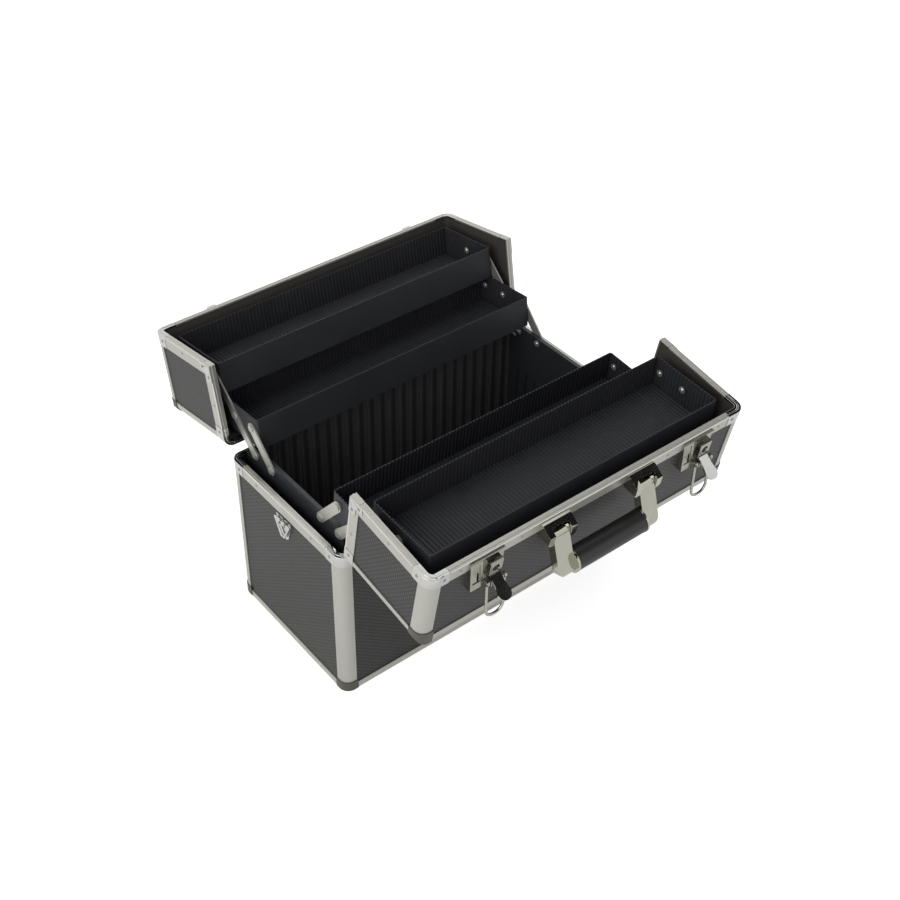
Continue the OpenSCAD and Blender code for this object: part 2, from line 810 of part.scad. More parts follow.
// Pressed housing that rises towards its pin, with a hub, a keyhole, ears and the latch pin
module latch_plate() {
    wedge_top = 8;
    wedge_w = 16;
    recess = 0.8;
    pressed_w = 10;
    pressed_l = 24;
    slit_w = 2.4;
    slit_l = 12;
    slit_deep = 5;
    ear_v = 4.5;
    ear_top = latch_pin_n + 3;
    pin_half = bail_x + bail_wire_r + 0.6;
    slope = atan2(wedge_top - latch_t, latch_v1 - latch_v0);
    difference() {
        union() {
            translate([(wedge_w - latch_plate_w) / 2, 0, 0]) rotate([90, 0, 90])
                linear_extrude(wedge_w, center = true)
                    polygon([[latch_v0, 0], [latch_v0, latch_t], [latch_v1, wedge_top],
                        [latch_v1, 0]]);
            translate([-latch_plate_w / 2, latch_v0, 0])
                cube([latch_plate_w, latch_v1 - latch_v0, latch_t]);
            translate([-latch_plate_w / 2, flange_h + joint_gap, -lip_t])
                cube([latch_plate_w, latch_v1 - flange_h - joint_gap, lip_t + cut]);
            translate([-latch_plate_w / 2, latch_v0, 0])
                cube([latch_plate_w, latch_t, 2 * latch_t]);
            translate([latch_hub_x - hub_w / 2, hub_v0, 0])
                cube([hub_w, hub_v1 - hub_v0, hub_h]);
            for (s = [-1, 1]) translate([latch_hub_x + s * (lever_w / 2 + side_gap + ear_t / 2)
                - ear_t / 2, latch_pin_v - ear_v, 0])
                    cube([ear_t, 2 * ear_v, ear_top]);
            translate([latch_hub_x, latch_pin_v, latch_pin_n]) rotate([0, 90, 0])
                cylinder(r = latch_pin_r, h = 2 * pin_half, center = true);
        }
        translate([latch_hub_x, (hub_v0 + hub_v1) / 2, hub_h / 2])
            cylinder(d = keyhole_d, h = hub_h);
        translate([(wedge_w - latch_plate_w) / 2, latch_v0, latch_t]) rotate([slope, 0, 0]) {
            translate([-pressed_w / 2, 7, -recess]) cube([pressed_w, pressed_l, 2 * recess]);
            translate([1, 18, -slit_deep]) cube([slit_w, slit_l, 2 * slit_deep]);
        }
    }
}

module latch_plates() {
    color([0.8, 0.81, 0.82]) on_front_face()
        for (x = [-latch_x, latch_x]) translate([x, 0, 0]) latch_plate();
}

// Lever turning on the latch pin, a blade over its barrel that widens to a round tip
module latch_lever(x) {
    tip_y = lever_l - lever_tip_w / 2;
    color([0.86, 0.87, 0.88]) on_front_face()
        translate([x + latch_hub_x, latch_pin_v, latch_pin_n]) difference() {
            union() {
                rotate([0, 90, 0]) cylinder(r = lever_boss_r, h = lever_w, center = true);
                rotate([lever_angle, 0, 0]) translate([0, 0, lever_rise - lever_t])
                    linear_extrude(lever_t) {
                        polygon([[-lever_w / 2, -lever_back], [lever_w / 2, -lever_back],
                            [lever_w / 2, lever_neck], [lever_tip_w / 2, tip_y],
                            [-lever_tip_w / 2, tip_y], [-lever_w / 2, lever_neck]]);
                        translate([0, tip_y]) circle(lever_tip_w / 2);
                    }
            }
            rotate([0, 90, 0])
                cylinder(r = latch_pin_r + pin_clear, h = lever_w + 2 * cut, center = true);
        }
}

// Wire bail on the same pin, hanging plumb in the drawn pose
module latch_bail(x) {
    bend_y = bail_l - bail_bend;
    eye_in = 1.6 * latch_pin_r;
    color([0.82, 0.83, 0.84]) on_front_face()
        translate([x + latch_hub_x, latch_pin_v, latch_pin_n]) rotate([hang_angle, 0, 0])
            difference() {
                union() {
                    for (s = [-1, 1]) {
                        translate([s * bail_x, 0, 0]) rotate([0, 90, 0])
                            cylinder(r = 2 * bail_wire_r, h = 1.8 * bail_wire_r, center = true);
                        translate([s * bail_x, eye_in, 0]) rotate([-90, 0, 0])
                            cylinder(r = bail_wire_r, h = bend_y - eye_in + bend_in);
                    }
                    translate([bail_x - bail_bend, bend_y, 0]) rotate_extrude(angle = 90)
                        translate([bail_bend, 0]) circle(bail_wire_r * bend_swell);
                    translate([bail_bend - bail_x, bend_y, 0]) rotate([0, 0, 90])
                        rotate_extrude(angle = 90) translate([bail_bend, 0])
                            circle(bail_wire_r * bend_swell);
                    translate([0, bail_l, 0]) rotate([0, 90, 0])
                        cylinder(r = bail_wire_r, h = 2 * (bail_x - bail_bend + bend_in),
                            center = true);
                }
                rotate([0, 90, 0])
                    cylinder(r = latch_pin_r + pin_clear, h = 4 * bail_x, center = true);
            }
}

// Bracket block that slopes up from the seam, with a recess for the arm and a pin across it
module handle_bracket() {
    slot = arm_w + 2 * arm_gap;
    length = bracket_v1 - bracket_v0;
    difference() {
        translate([0, bracket_v0, 0]) union() {
            intersection() {
                rotate([90, 0, 90]) linear_extrude(bracket_w, center = true)
                    polygon([[0, 0], [0, bracket_low], [bracket_slope, bracket_h],
                        [length, bracket_h], [length, 0]]);
                linear_extrude(bracket_h) {
                    translate([-bracket_w / 2, 0]) square([bracket_w, length - bracket_r]);
                    translate([bracket_r - bracket_w / 2, 0])
                        square([bracket_w - 2 * bracket_r, length]);
                    for (s = [-1, 1])
                        translate([s * (bracket_w / 2 - bracket_r), length - bracket_r])
                            circle(bracket_r);
                }
            }
            translate([bracket_r - bracket_w / 2, flange_h + joint_gap - bracket_v0, -lip_t])
                cube([bracket_w - 2 * bracket_r, length - flange_h - joint_gap + bracket_v0,
                    lip_t + cut]);
        }
        translate([-slot / 2, bracket_back, bracket_floor])
            cube([slot, bracket_v1, bracket_h]);
    }
    translate([0, arm_pin_v, arm_pin_n]) rotate([0, 90, 0])
        cylinder(r = arm_pin_r, h = slot + cut, center = true);
}

module handle_brackets() {
    color([0.84, 0.85, 0.86]) on_front_face()
        both_ends() translate([handle_x, 0, 0]) handle_bracket();
}

// The handle's own frame: origin on its pivot, +Y along the arms
module handle_frame() {
    on_front_face() translate([0, arm_pin_v, arm_pin_n]) rotate([arm_angle, 0, 0]) children();
}

// Arm with a rounded outer elbow and a ferrule that takes the grip's end
module handle_arm() {
    end_y = arm_l + arm_end;
    round_y = end_y - elbow_round;
    difference() {
        union() {
            intersection() {
                rotate([90, 0, 90]) linear_extrude(arm_w, center = true) {
                    circle(arm_boss_r);
                    translate([0, -arm_t / 2]) square([end_y - arm_end_r, arm_t]);
                    translate([0, -arm_t / 2]) square([end_y, arm_t - arm_end_r]);
                    translate([end_y - arm_end_r, arm_t / 2 - arm_end_r]) circle(arm_end_r);
                }
                translate([0, 0, -grip_d]) linear_extrude(2 * grip_d) {
                    translate([-arm_w / 2, -arm_boss_r]) square([arm_w, round_y + arm_boss_r]);
                    translate([-arm_w / 2, 0]) square([arm_w - elbow_round, end_y]);
                    translate([arm_w / 2 - elbow_round, round_y]) circle(elbow_round);
                }
            }
            translate([grip_l / 2 - handle_x, arm_l, 0]) rotate([0, 90, 0])
                cylinder(r = ferrule_r, h = handle_x - grip_l / 2 - arm_w / 2 + cut);
        }
        rotate([0, 90, 0])
            cylinder(r = arm_pin_r + pin_clear, h = arm_w + 2 * cut, center = true);
    }
}

module handle_arms() {
    color([0.84, 0.85, 0.86]) handle_frame() both_ends() translate([handle_x, 0, 0]) handle_arm();
}

module handle_grip() {
    color([0.05, 0.05, 0.05]) handle_frame() translate([0, arm_l, 0]) rotate([0, 90, 0])
        cylinder(d = grip_d, h = grip_l, center = true);
}

// Open box from its inner top edge outwards and down, with pin holes in both ends
module tray(holes) {
    inner_r = tray_round - tray_wall / 2;
    difference() {
        translate([0, tray_d / 2, -tray_h]) linear_extrude(tray_h)
            rounded_plan(tray_l, tray_d, tray_round);
        translate([0, tray_d / 2, tray_floor - tray_h]) linear_extrude(tray_h)
            rounded_plan(tray_l - 2 * tray_wall, tray_d - 2 * tray_wall, inner_r);
        for (h = holes) translate([0, h[0], -h[1]]) rotate([0, 90, 0])
            cylinder(r = h[2], h = tray_l + 2 * cut, center = true);
    }
}

// Lower tray: short link, long link and upper link holes from the inside out
module lower_tray(pose) {
    p = lower_origin(pose);
    color([0.07, 0.07, 0.08]) translate([0, p[0], p[1]]) rotate([-pose[1], 0, 0])
        tray([[lower_u - pivot_gap, lower_drop, pin_r + slack],
            [lower_u, lower_drop, pin_r + pin_clear],
            [lower_u + upper_base_u(pose), lower_drop, pin_r + pin_clear]]);
}

// Upper tray: long link and upper link holes
module upper_tray(pose) {
    p = upper_origin(pose);
    color([0.07, 0.07, 0.08]) translate([0, p[0], p[1]]) rotate([-pose[2], 0, 0])
        tray([[upper_u, upper_drop, pin_r + pin_clear],
            [upper_u + pivot_gap, upper_drop, pin_r + slack]]);
}

// Flat bar with rounded ends, riveted pins and heads, in the plane of the right-hand end
module link_bar(from, to, pins) {
    length = norm(to - from);
    translate([link_x, from[0], from[1]]) rotate([link_angle(from, to), 0, 0]) {
        translate([0, 0, -link_w / 2]) cube([link_t, length, link_w]);
        for (s = [0, length]) translate([0, s, 0]) rotate([0, 90, 0])
            cylinder(d = link_w, h = link_t);
        for (p = pins) translate([0, p[0], 0]) {
            rotate([0, 90, 0]) cylinder(r = head_r, h = link_t + head_t);
            translate([-p[1] - inner_head_gap - side_gap - inner_head_t, 0, 0]) rotate([0, 90, 0])
                cylinder(r = pin_r, h = p[1] + inner_head_gap + side_gap + inner_head_t + cut);
            translate([-p[1] - inner_head_gap - side_gap - inner_head_t, 0, 0]) rotate([0, 90, 0])
                cylinder(r = head_r, h = inner_head_t);
        }
    }
}

module long_links(pose) {
    color([0.7, 0.71, 0.72]) both_ends() link_bar(arm_point(pose, 0), arm_point(pose, 2),
        [[0, carrier_t], [link_len, tray_wall], [2 * link_len, tray_wall]]);
}

module short_links(pose) {
    length = norm(short_top(pose) - short_base(pose));
    color([0.7, 0.71, 0.72]) both_ends() link_bar(short_base(pose), short_top(pose),
        [[0, carrier_t], [length, tray_wall]]);
}

module upper_links(pose) {
    length = norm(upper_top(pose) - upper_base(pose));
    color([0.7, 0.71, 0.72]) both_ends() link_bar(upper_base(pose), upper_top(pose),
        [[0, tray_wall], [length, tray_wall]]);
}
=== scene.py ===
import math

import bpy
import numpy as np
from mathutils import Matrix, Vector


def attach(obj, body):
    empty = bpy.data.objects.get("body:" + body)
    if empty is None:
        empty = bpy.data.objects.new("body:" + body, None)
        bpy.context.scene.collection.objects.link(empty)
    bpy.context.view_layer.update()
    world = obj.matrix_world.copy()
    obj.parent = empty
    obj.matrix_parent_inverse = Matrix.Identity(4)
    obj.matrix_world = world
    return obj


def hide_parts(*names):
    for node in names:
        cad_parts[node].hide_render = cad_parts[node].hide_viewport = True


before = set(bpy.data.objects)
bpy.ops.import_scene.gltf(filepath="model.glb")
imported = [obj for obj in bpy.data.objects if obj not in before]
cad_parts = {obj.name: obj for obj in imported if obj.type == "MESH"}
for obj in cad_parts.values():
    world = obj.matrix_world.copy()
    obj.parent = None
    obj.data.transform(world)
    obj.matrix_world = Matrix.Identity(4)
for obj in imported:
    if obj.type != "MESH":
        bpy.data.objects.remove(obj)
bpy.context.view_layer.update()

# Camera: it looks down on the case's left front corner. Its place, lens and shift are the ones that put
# the case where the photograph has it.
MM = 0.001
camera_turn, camera_drop, camera_roll = (math.radians(a) for a in (38.12, 39.45, 0.24))
camera_aim = np.array([23.46, 51.18, 170.6]) * MM
camera_away = 1790.3 * MM
lens_px, centre_px, image_px, sensor_mm = 1427.9, (428.09, 430.4), 900, 36

look = np.array([math.sin(camera_turn) * math.cos(camera_drop),
                 math.cos(camera_turn) * math.cos(camera_drop), -math.sin(camera_drop)])
right = np.array([math.cos(camera_turn), -math.sin(camera_turn), 0])
up = np.cross(right, look)
right, up = (math.cos(camera_roll) * right + math.sin(camera_roll) * up,
             math.cos(camera_roll) * up - math.sin(camera_roll) * right)
camera = bpy.data.objects.new("camera", bpy.data.cameras.new("camera"))
camera.data.lens = lens_px / image_px * sensor_mm
camera.data.sensor_width = sensor_mm
camera.data.shift_x = (image_px / 2 - centre_px[0]) / image_px
camera.data.shift_y = (centre_px[1] - image_px / 2) / image_px
placed = Matrix.Identity(4)
for row in range(3):
    placed[row][0], placed[row][1], placed[row][2] = right[row], up[row], -look[row]
    placed[row][3] = camera_aim[row] - camera_away * look[row]
camera.matrix_world = placed
bpy.context.scene.collection.objects.link(camera)
bpy.context.scene.camera = camera
bpy.context.scene.view_settings.view_transform = "Standard"


# Room: a bare white studio round the case. Its world lights the case evenly and softly, and looks white
# wherever it is seen.
def add(tree, kind, settings=None, **links):
    """A node of that kind. settings holds its own properties and, by socket name or number, its values;
    links, named after sockets or in0, in1 by number, are the output sockets that feed it."""
    made = tree.nodes.new(kind)
    for key, value in (settings or {}).items():
        if isinstance(key, int) or key in made.inputs.keys():
            made.inputs[key].default_value = value
        else:
            setattr(made, key, value)
    for key, source in links.items():
        socket = int(key[2:]) if key.startswith("in") else key.replace("_", " ")
        tree.links.new(source, made.inputs[socket])
    return made


def seeing_rays(tree):
    """The rays node of a tree, and a socket that is 1 for the rays which show a thing to the camera,
    direct, mirrored in metal or through glass, and 0 for the rays which only light the case."""
    rays = add(tree, "ShaderNodeLightPath")
    direct_or_mirrored = add(tree, "ShaderNodeMath", {"operation": "MAXIMUM"},
                             in0=rays.outputs["Is Camera Ray"], in1=rays.outputs["Is Glossy Ray"])
    any_of_them = add(tree, "ShaderNodeMath", {"operation": "MAXIMUM"},
                      in0=direct_or_mirrored.outputs[0], in1=rays.outputs["Is Transmission Ray"])
    return rays, any_of_them.outputs[0]


room_light, room_seen = 0.46, 1.0
world = bpy.data.worlds.new("white_room")
world.use_nodes = True
bpy.context.scene.world = world
room = world.node_tree
rays, seen = seeing_rays(room)
brightness = add(room, "ShaderNodeMapRange", {"To Min": room_light, "To Max": room_seen}, Value=seen)
room.links.new(brightness.outputs[0], room.nodes["Background"].inputs["Strength"])
room.nodes["Background"].inputs["Color"].default_value = (1, 1, 1, 1)

# Lamps: two large soft boxes, one to the left of the case and one over it. Places and sizes are in
# metres, powers in watts.
for name, place, size, power in (("key_lamp", (-1.9, -0.5, 1.3), 1.8, 20),
                                 ("top_lamp", (0.3, 0.7, 2.1), 1.9, 12)):
    lamp = bpy.data.lights.new(name, "AREA")
    lamp.shape, lamp.size, lamp.energy = "SQUARE", size, power
    stand = bpy.data.objects.new(name, lamp)
    stand.location = place
    towards = Vector((camera_aim - np.array(place)).tolist())
    stand.rotation_euler = towards.to_track_quat("-Z", "Y").to_euler()
    bpy.context.scene.collection.objects.link(stand)


# Floor: matt white paper under the caps that the case stands on. It glows to the camera and to metal, so
# that it shows as white as the room, and keeps the case's shadow.
def linear(hex_colour):
    """An sRGB hex colour as linear RGBA: c / 12.92 below 0.04045, else ((c + 0.055) / 1.055) ** 2.4."""
    c = np.array([int(hex_colour[i:i + 2], 16) for i in (1, 3, 5)]) / 255
    c = np.where(c < 0.04045, c / 12.92, ((c + 0.055) / 1.055) ** 2.4)
    return (*c.tolist(), 1.0)


def material(name, colour, metallic=0.0, roughness=0.5, **settings):
    """A Principled material: its tree and shader are returned with it, for the pattern to be added."""
    made = bpy.data.materials.new(name)
    made.use_nodes = True
    shader = made.node_tree.nodes["Principled BSDF"]
    shader.inputs["Base Color"].default_value = linear(colour)
    shader.inputs["Metallic"].default_value = metallic
    shader.inputs["Roughness"].default_value = roughness
    for key, value in settings.items():
        shader.inputs[key.replace("_", " ")].default_value = value
    return made, made.node_tree, shader


def set_sheet(name, outline, made):
    """A flat sheet of the set, one face inside its outline. It is no part of the case."""
    mesh = bpy.data.meshes.new(name)
    mesh.from_pydata(outline.tolist(), [], [tuple(range(len(outline)))])
    mesh.materials.append(made)
    thing = bpy.data.objects.new(name, mesh)
    bpy.context.scene.collection.objects.link(thing)
    return thing


floor_reach, floor_z = 6, -2.2 * MM
glow_to_camera, glow_to_metal = 0.72, 0.3
paper, tree, shader = material("white_paper", "#ebebeb", roughness=0.9)
rays, seen = seeing_rays(tree)
mirrored = add(tree, "ShaderNodeMath", {"operation": "MULTIPLY", 1: glow_to_metal},
               in0=rays.outputs["Is Glossy Ray"])
strength = add(tree, "ShaderNodeMath", {"operation": "MULTIPLY_ADD", 1: glow_to_camera},
               in0=rays.outputs["Is Camera Ray"], in2=mirrored.outputs[0])
glow = add(tree, "ShaderNodeEmission", {"Color": (1, 1, 1, 1)}, Strength=strength.outputs[0])
both = add(tree, "ShaderNodeAddShader", in0=shader.outputs[0], in1=glow.outputs[0])
shown = add(tree, "ShaderNodeMixShader", in0=seen, in1=shader.outputs[0], in2=both.outputs[0])
tree.links.new(shown.outputs[0], tree.nodes["Material Output"].inputs["Surface"])
square = np.array([[-1, -1], [1, -1], [1, 1], [-1, 1]])
set_sheet("floor", np.column_stack([floor_reach * square, np.full(4, floor_z)]), paper)

# Ceiling: a round dark cloth over the lamps, which only the metal sees. Upright metal mirrors the white
# floor, and the sloping tops of the fittings mirror the cloth, as in the photograph.
cloth_x, cloth_y, cloth_z, cloth_radius, cloth_sides = 0.35, -0.75, 2.6, 2.62, 48
round_it = np.linspace(0, 2 * math.pi, cloth_sides, endpoint=False)
ceiling = set_sheet("ceiling", np.column_stack([cloth_x + cloth_radius * np.cos(round_it),
                                                cloth_y + cloth_radius * np.sin(round_it),
                                                np.full(cloth_sides, cloth_z)]),
                    material("black_cloth", "#101013", roughness=0.9)[0])
ceiling.visible_camera = ceiling.visible_diffuse = ceiling.visible_shadow = False
ceiling.visible_transmission = False


# Panels: thin boards faced with black ABS sheet, which is embossed hot with rows of short raised dashes.
# The rows run level round the closed case, and each is set half a dash beside the next. The real dashes
# are finer; they are drawn as coarse as they need to show. Their tops are coloured light and the grooves
# between them near black: painted highlight and painted shade of the embossing.
def dress(names, made):
    """Gives CAD nodes a material."""
    for name in names:
        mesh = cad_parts[name].data
        mesh.materials.clear()
        mesh.materials.append(made)


dash_pitch, row_pitch, row_share = 7.3 * MM, 2.8 * MM, 0.6
dash_foot, dash_top, emboss = -0.1, 0.6, 0.3 * MM
# Painted shade between the dashes and painted highlight on their tops, not colours of the sheet itself.
skin_painted_shade, skin_painted_highlight = "#0b0b0b", "#3b3936"


def embossed_skin(name, turn_deg):
    """Rows of staggered dashes on boards turned turn_deg about X from the closed case: height is cos(2 pi
    h / dash_pitch) times cos(pi v / row_pitch), plus row_share times cos(2 pi v / row_pitch), h along the
    rows and v across them. The board's own normal picks h and v out of x, y and z. A dash rises smoothly
    where that height goes from dash_foot to dash_top, and its colour goes from painted shade between the
    dashes to a painted highlight on its top."""
    made, tree, shader = material(name, "#2b2a29", roughness=0.46)
    spot = add(tree, "ShaderNodeTexCoord")
    turned = {"vector_type": "POINT", "Rotation": (math.radians(turn_deg), 0, 0)}
    place = add(tree, "ShaderNodeMapping", turned, Vector=spot.outputs["Object"])
    faced = add(tree, "ShaderNodeMapping", turned, Vector=spot.outputs["Normal"])
    p = add(tree, "ShaderNodeSeparateXYZ", in0=place.outputs[0])
    n = add(tree, "ShaderNodeSeparateXYZ", in0=faced.outputs[0])
    on_end = add(tree, "ShaderNodeMath", {"operation": "ABSOLUTE"}, in0=n.outputs["X"])
    on_top = add(tree, "ShaderNodeMath", {"operation": "ABSOLUTE"}, in0=n.outputs["Z"])
    along = add(tree, "ShaderNodeMix", Factor=on_end.outputs[0], A=p.outputs["X"], B=p.outputs["Y"])
    across = add(tree, "ShaderNodeMix", Factor=on_top.outputs[0], A=p.outputs["Z"], B=p.outputs["Y"])
    waves = []
    for line, pitch in ((along, dash_pitch), (across, 2 * row_pitch), (across, row_pitch)):
        phase = add(tree, "ShaderNodeMath", {"operation": "MULTIPLY", 1: 2 * math.pi / pitch},
                    in0=line.outputs[0])
        waves.append(add(tree, "ShaderNodeMath", {"operation": "COSINE"}, in0=phase.outputs[0]))
    lattice = add(tree, "ShaderNodeMath", {"operation": "MULTIPLY"}, in0=waves[0].outputs[0],
                  in1=waves[1].outputs[0])
    height = add(tree, "ShaderNodeMath", {"operation": "MULTIPLY_ADD", 1: row_share},
                 in0=waves[2].outputs[0], in2=lattice.outputs[0])
    dashes = add(tree, "ShaderNodeMapRange",
                 {"From Min": dash_foot, "From Max": dash_top, "interpolation_type": "SMOOTHSTEP"},
                 Value=height.outputs[0])
    # Painted highlight and shade: the dash tops are coloured light and the grooves between them near
    # black, standing in for the light and shade on the embossing.
    colour = add(tree, "ShaderNodeMix",
                 {"data_type": "RGBA", 6: linear(skin_painted_shade), 7: linear(skin_painted_highlight)},
                 in0=dashes.outputs[0])
    tree.links.new(colour.outputs[2], shader.inputs["Base Color"])
    bump = add(tree, "ShaderNodeBump", {"Strength": 0.8, "Distance": emboss},
               Height=dashes.outputs[0])
    tree.links.new(bump.outputs[0], shader.inputs["Normal"])
    return made


dress(["end_panels", "long_panels", "bottom_panel"], embossed_skin("embossed_abs_base", 0))
for lid, turn in (("rear", 100), ("front", -100)):
    dress([f"{lid}_lid_{board}" for board in ("long_panel", "top_panel", "end_panels")],
          embossed_skin(f"embossed_abs_{lid}_lid", turn))


# Frame: aluminium corners, trims and rims, extruded, satin anodised and pushed over the boards' edges.
# The etch before anodising leaves a fine even grain, so the highlights are broad and soft.
def worked(name, colour, second, metallic, roughness, grain, lift=0.0, **settings):
    """A finish with the marks of its making: noise of that grain in metres mixes two colours, moves the
    roughness by a quarter either way and lifts the surface by up to lift metres."""
    made, tree, shader = material(name, colour, metallic, roughness, **settings)
    spot = add(tree, "ShaderNodeTexCoord")
    noise = add(tree, "ShaderNodeTexNoise", {"Scale": 1 / grain, "Detail": 3.0},
                Vector=spot.outputs["Object"])
    shade = add(tree, "ShaderNodeMix", {"data_type": "RGBA", 6: linear(colour), 7: linear(second)},
                in0=noise.outputs[0])
    tree.links.new(shade.outputs[2], shader.inputs["Base Color"])
    rough = add(tree, "ShaderNodeMapRange",
                {"From Min": 0.25, "From Max": 0.75,
                 "To Min": 0.75 * roughness, "To Max": 1.25 * roughness}, Value=noise.outputs[0])
    tree.links.new(rough.outputs[0], shader.inputs["Roughness"])
    if lift:
        bump = add(tree, "ShaderNodeBump", {"Strength": 1.0, "Distance": lift},
                   Height=noise.outputs[0])
        tree.links.new(bump.outputs[0], shader.inputs["Normal"])
    return made


anodised = worked("satin_anodised_aluminium", "#b4b3ab", "#c2c1ba", 0.8, 0.38, 0.5 * MM)
dress(["corner_extrusions", "bottom_trims", "rim_profile"]
      + [f"{lid}_lid_{part}" for lid in ("rear", "front") for part in ("extrusions", "trim", "rim")],
      anodised)

# Corner pieces, strap plates and rings, catches and latch levers: pressed steel, chrome plated. The
# pressing leaves the sheet faintly wavy, so its mirror is drawn out into soft patches.
chrome = worked("pressed_chrome_plate", "#c0c0be", "#cdcdca", 1.0, 0.06, 14 * MM)
dress(["rim_corners", "rear_lid_corners", "front_lid_corners", "strap_plates", "left_strap_ring",
       "right_strap_ring", "catch_plates", "left_latch_lever", "right_latch_lever"], chrome)

# Latch plates: the housings of the two latches, pressed steel, nickel plated and riveted under the front
# lid's rim. They are a little duller and warmer than the chrome.
nickel = worked("pressed_nickel_plate", "#94938a", "#b0afa6", 1.0, 0.2, 9 * MM)
dress(["latch_plates"], nickel)

# Rivets: small snap heads of steel wire along the rims, which hold them to the boards. They are tumbled
# and left unplated, the dullest metal of the case.
rivets = worked("snap_head_rivet_steel", "#8a8983", "#a5a49d", 0.8, 0.3, 1.5 * MM)
dress(["rim_rivets", "rear_lid_rivets", "front_lid_rivets"], rivets)

# Latch bails: steel wire, bent to a loop and satin nickel plated. Each hangs on its latch's pin, and
# hooks over the catch on the rear lid when the case is shut.
wire = worked("satin_nickel_wire", "#a9a99c", "#b8b8ac", 1.0, 0.28, 1.2 * MM)
dress(["left_latch_bail", "right_latch_bail"], wire)

# Handle arms and brackets: zinc castings, satin chrome plated. The tumbled casting under the plate is
# softly uneven.
satin_chrome = worked("satin_chrome_casting", "#b2b1a4", "#bebdb1", 1.0, 0.09, 12 * MM)
dress(["handle_brackets", "handle_arms"], satin_chrome)

# Links, hinges and pins: punched steel strip, zinc plated, with the fine spangle of the bath. The links
# are riveted to the carriers and the trays, and the hinge leaves lie on the rims.
steel = worked("zinc_plated_steel", "#b6b5ae", "#c8c7c0", 0.72, 0.36, 2.5 * MM)
dress(["base_hinge_leaves", "hinge_pins", "rear_lid_hinge_leaves", "front_lid_hinge_leaves"]
      + [f"{side}_{links}_links" for side in ("rear", "front") for links in ("long", "short", "upper")],
      steel)

# Caps: ABS mouldings with a spark-eroded grain, dark warm grey, pushed over the corners of the trims.
caps = worked("grained_abs_cap", "#4c4a42", "#58554d", 0.0, 0.42, 0.8 * MM, 0.03 * MM)
dress(["corner_caps", "rear_lid_caps", "front_lid_caps"], caps)

# Lid linings: smooth PVC-faced board, glued in behind the lids' rims. The film has a very fine matt
# grain.
lining = worked("lining_pvc_film", "#3e3b38", "#454240", 0.0, 0.55, 0.7 * MM, 0.02 * MM)
dress(["rear_lid_lining", "front_lid_lining"], lining)

# Liner: black polystyrene sheet, vacuum formed, which draws it slightly uneven. Its colour is set to a
# mid grey, much lighter than the black sheet, as painted light that lifts the shade deep inside the case.
# Over its divider grooves it goes a little lighter and darker in soft upright bands, painted light and
# shade of the grooves.
band_pitch = 16.6 * MM
# The mid grey is painted light: it is lighter than black polystyrene, to lift the shade inside the case.
liner = worked("formed_polystyrene_liner", "#545454", "#5e5e5d", 0.0, 0.55, 5 * MM)
tree, shader = liner.node_tree, liner.node_tree.nodes["Principled BSDF"]
sheet_colour = shader.inputs["Base Color"].links[0].from_socket
spot = add(tree, "ShaderNodeTexCoord")
place = add(tree, "ShaderNodeSeparateXYZ", in0=spot.outputs["Object"])
phase = add(tree, "ShaderNodeMath", {"operation": "MULTIPLY", 1: 2 * math.pi / band_pitch},
            in0=place.outputs["X"])
wave = add(tree, "ShaderNodeMath", {"operation": "COSINE"}, in0=phase.outputs[0])
band = add(tree, "ShaderNodeMapRange", {"From Min": -1.0, "From Max": 1.0}, Value=wave.outputs[0])
# Painted light and shade: the sheet colour is mixed towards a darker grey in upright bands at the
# grooves' pitch.
painted_groove_shade = add(tree, "ShaderNodeMix", {"data_type": "RGBA", 6: linear("#2c2c2b")}, in0=band.outputs[0],
             in7=sheet_colour)
tree.links.new(painted_groove_shade.outputs[2], shader.inputs["Base Color"])
dress(["liner"], liner)

# Tray carriers: plates of the same formed sheet inside the ends, smoother and bluer than the liner.
carrier = worked("formed_polystyrene_carrier", "#24282b", "#2c3033", 0.0, 0.45, 5 * MM, 0.02 * MM)
dress(["carrier_plates"], carrier)

# Grip: soft PVC, moulded over the bar between the handle's arms. It is semi-gloss with a faint leather
# grain.
grip = worked("grained_pvc_grip", "#1f1f1f", "#272726", 0.0, 0.4, 1.1 * MM, 0.03 * MM)
dress(["handle_grip"], grip)

# Edges: sheet and cast metal has no sharp edge once it is pressed or tumbled and plated. Each edge is
# rounded a little, which draws a thin light or dark line round every fitting.
for names, radius in ((["handle_brackets", "handle_arms"], 1.1 * MM),
                      (["latch_plates"], 0.45 * MM),
                      (["strap_plates", "catch_plates"], 0.3 * MM),
                      (["rim_profile", "rear_lid_rim", "front_lid_rim", "rim_corners",
                        "rear_lid_corners", "front_lid_corners"], 0.55 * MM)):
    for name in names:
        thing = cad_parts[name]
        weld = thing.modifiers.new("joined", "WELD")
        weld.merge_threshold = 0.001 * MM
        edge = thing.modifiers.new("rounded_edge", "BEVEL")
        edge.width, edge.segments = radius, 3
        edge.limit_method, edge.angle_limit = "ANGLE", math.radians(32)
        edge.use_clamp_overlap = True
        edge.harden_normals = True


# Trays: black polystyrene, moulded with fine upright ribs inside all four walls and across the floor.
# From here on new pieces are worked out in millimetres, and piece() takes them to metres.
def piece(name, points, faces, made, body):
    """A mesh piece from millimetre points and faces, smooth below 30 degrees, riding on a body."""
    mesh = bpy.data.meshes.new(name)
    mesh.from_pydata((np.asarray(points) * MM).tolist(), [], [list(map(int, f)) for f in faces])
    mesh.validate()
    mesh.polygons.foreach_set("use_smooth", np.ones(len(mesh.polygons), bool))
    mesh.set_sharp_from_angle(angle=math.radians(30))
    mesh.materials.append(made)
    thing = bpy.data.objects.new(name, mesh)
    bpy.context.scene.collection.objects.link(thing)
    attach(thing, body)
    return thing


def grid_faces(rows, cols, around=False):
    """Quads of a rows by cols grid of points; around joins each row's last point to its first."""
    r = np.arange(rows - 1)[:, None]
    c = np.arange(cols if around else cols - 1)[None, :]
    a, b = r * cols + c, r * cols + (c + 1) % cols
    return np.stack([a, b, b + cols, a + cols], -1).reshape(-1, 4)


